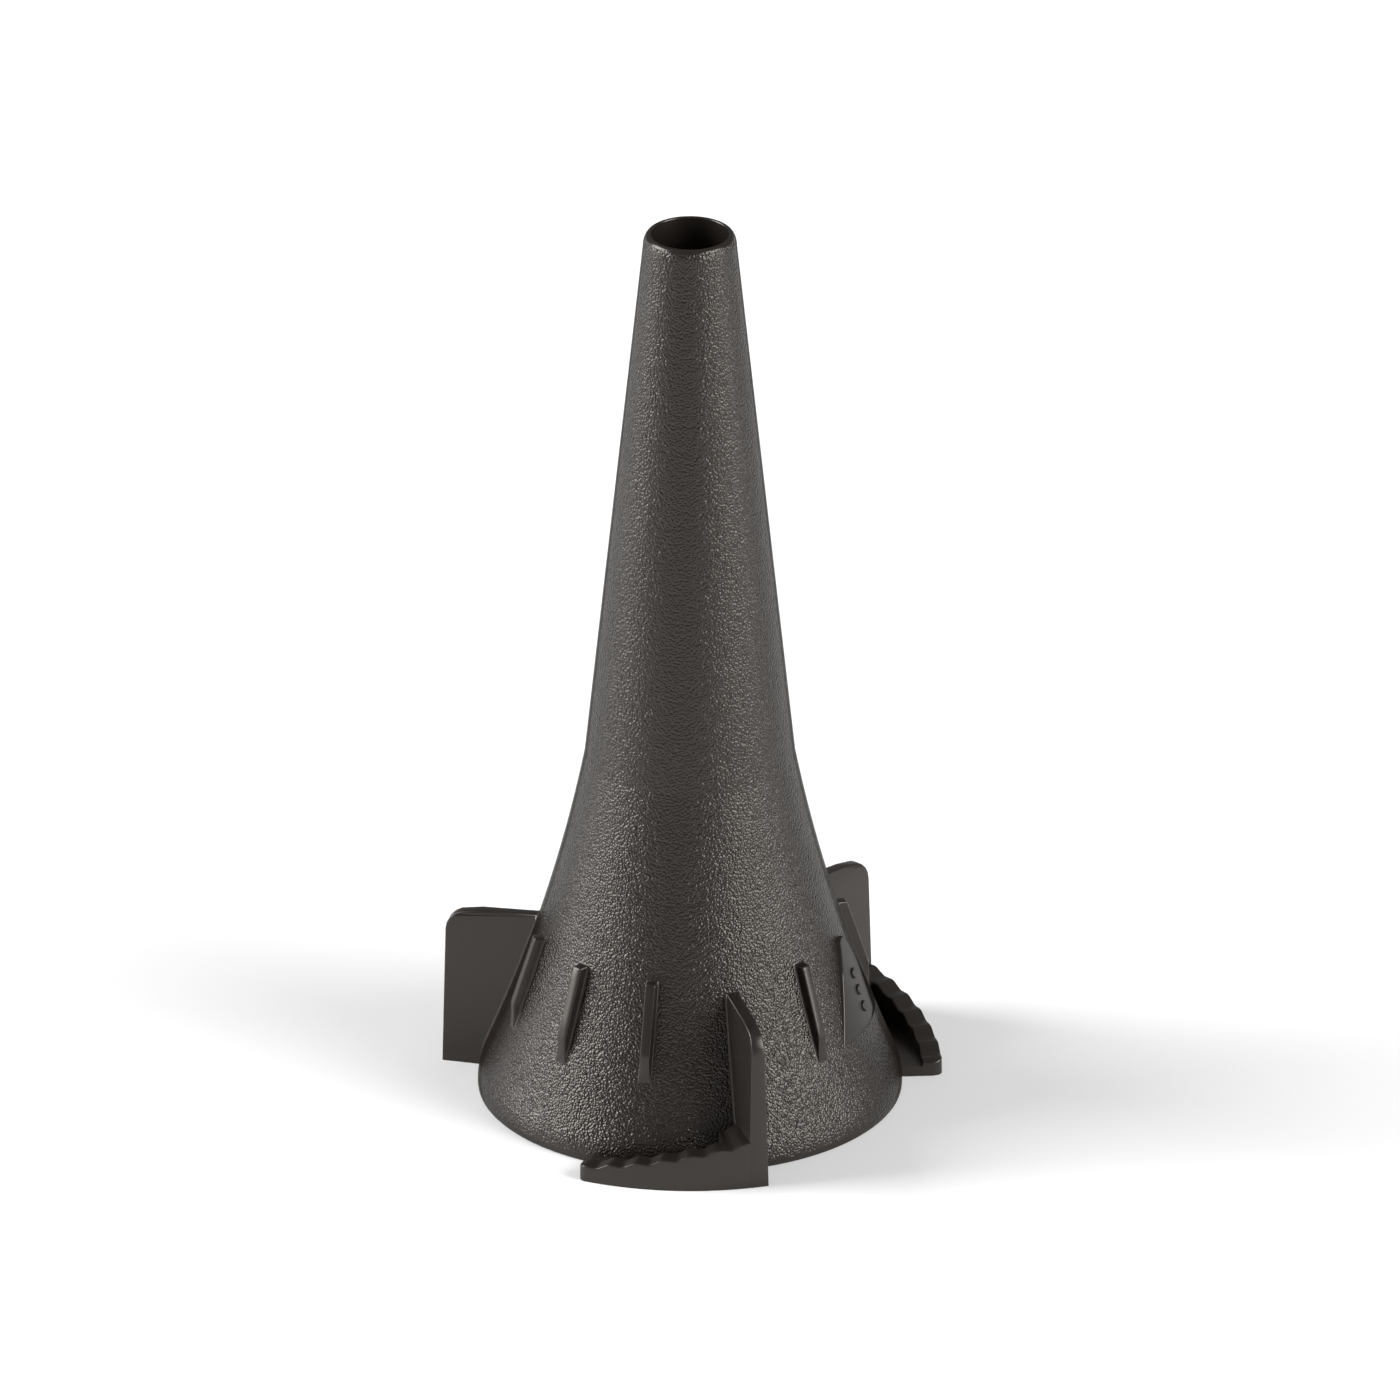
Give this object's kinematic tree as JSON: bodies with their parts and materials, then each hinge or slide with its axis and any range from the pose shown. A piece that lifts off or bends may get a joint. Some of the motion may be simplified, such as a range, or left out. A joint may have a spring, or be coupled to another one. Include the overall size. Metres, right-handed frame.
{
  "type": "otoscope ear speculum",
  "caption": "Slim hollow plastic cone that flares to a round socket, with radial locking fins, toothed cam ramps and grip ribs round its wide end.",
  "frame": {"origin": "centre of the wide open end, on the plane that the part rests on", "axes": "+Z along the bore towards the small end that goes into the ear. +X and +Y lie across it: locking_fin_1 is 74.2 degrees clockwise from +X, seen from the small end, and the other two are 120 degrees apart from it"},
  "size_m": [0.0178, 0.0165, 0.0332],
  "materials": {
    "grained_wall": "spark-eroded grain",
    "smooth_edge": "smooth satin",
    "satin_detail": "satin",
    "polished_pad": "smooth, slightly glossy"
  },
  "bodies": {
    "root": {"lower_flare": "grained_wall", "upper_flare": "grained_wall", "ear_cone": "grained_wall", "socket_collar": "smooth_edge", "tip_rim": "smooth_edge", "locking_fin_1": "satin_detail", "locking_fin_2": "satin_detail", "locking_fin_3": "satin_detail", "cam_ramp_1": "satin_detail", "cam_ramp_2": "satin_detail", "cam_ramp_3": "satin_detail", "grip_rib_1": "satin_detail", "grip_rib_2": "satin_detail", "grip_rib_3": "satin_detail", "grip_rib_4": "satin_detail", "grip_rib_5": "satin_detail", "grip_rib_6": "satin_detail", "grip_rib_7": "satin_detail", "grip_rib_8": "satin_detail", "size_pad": "polished_pad", "size_pips": "polished_pad"}
  },
  "joints": []
}
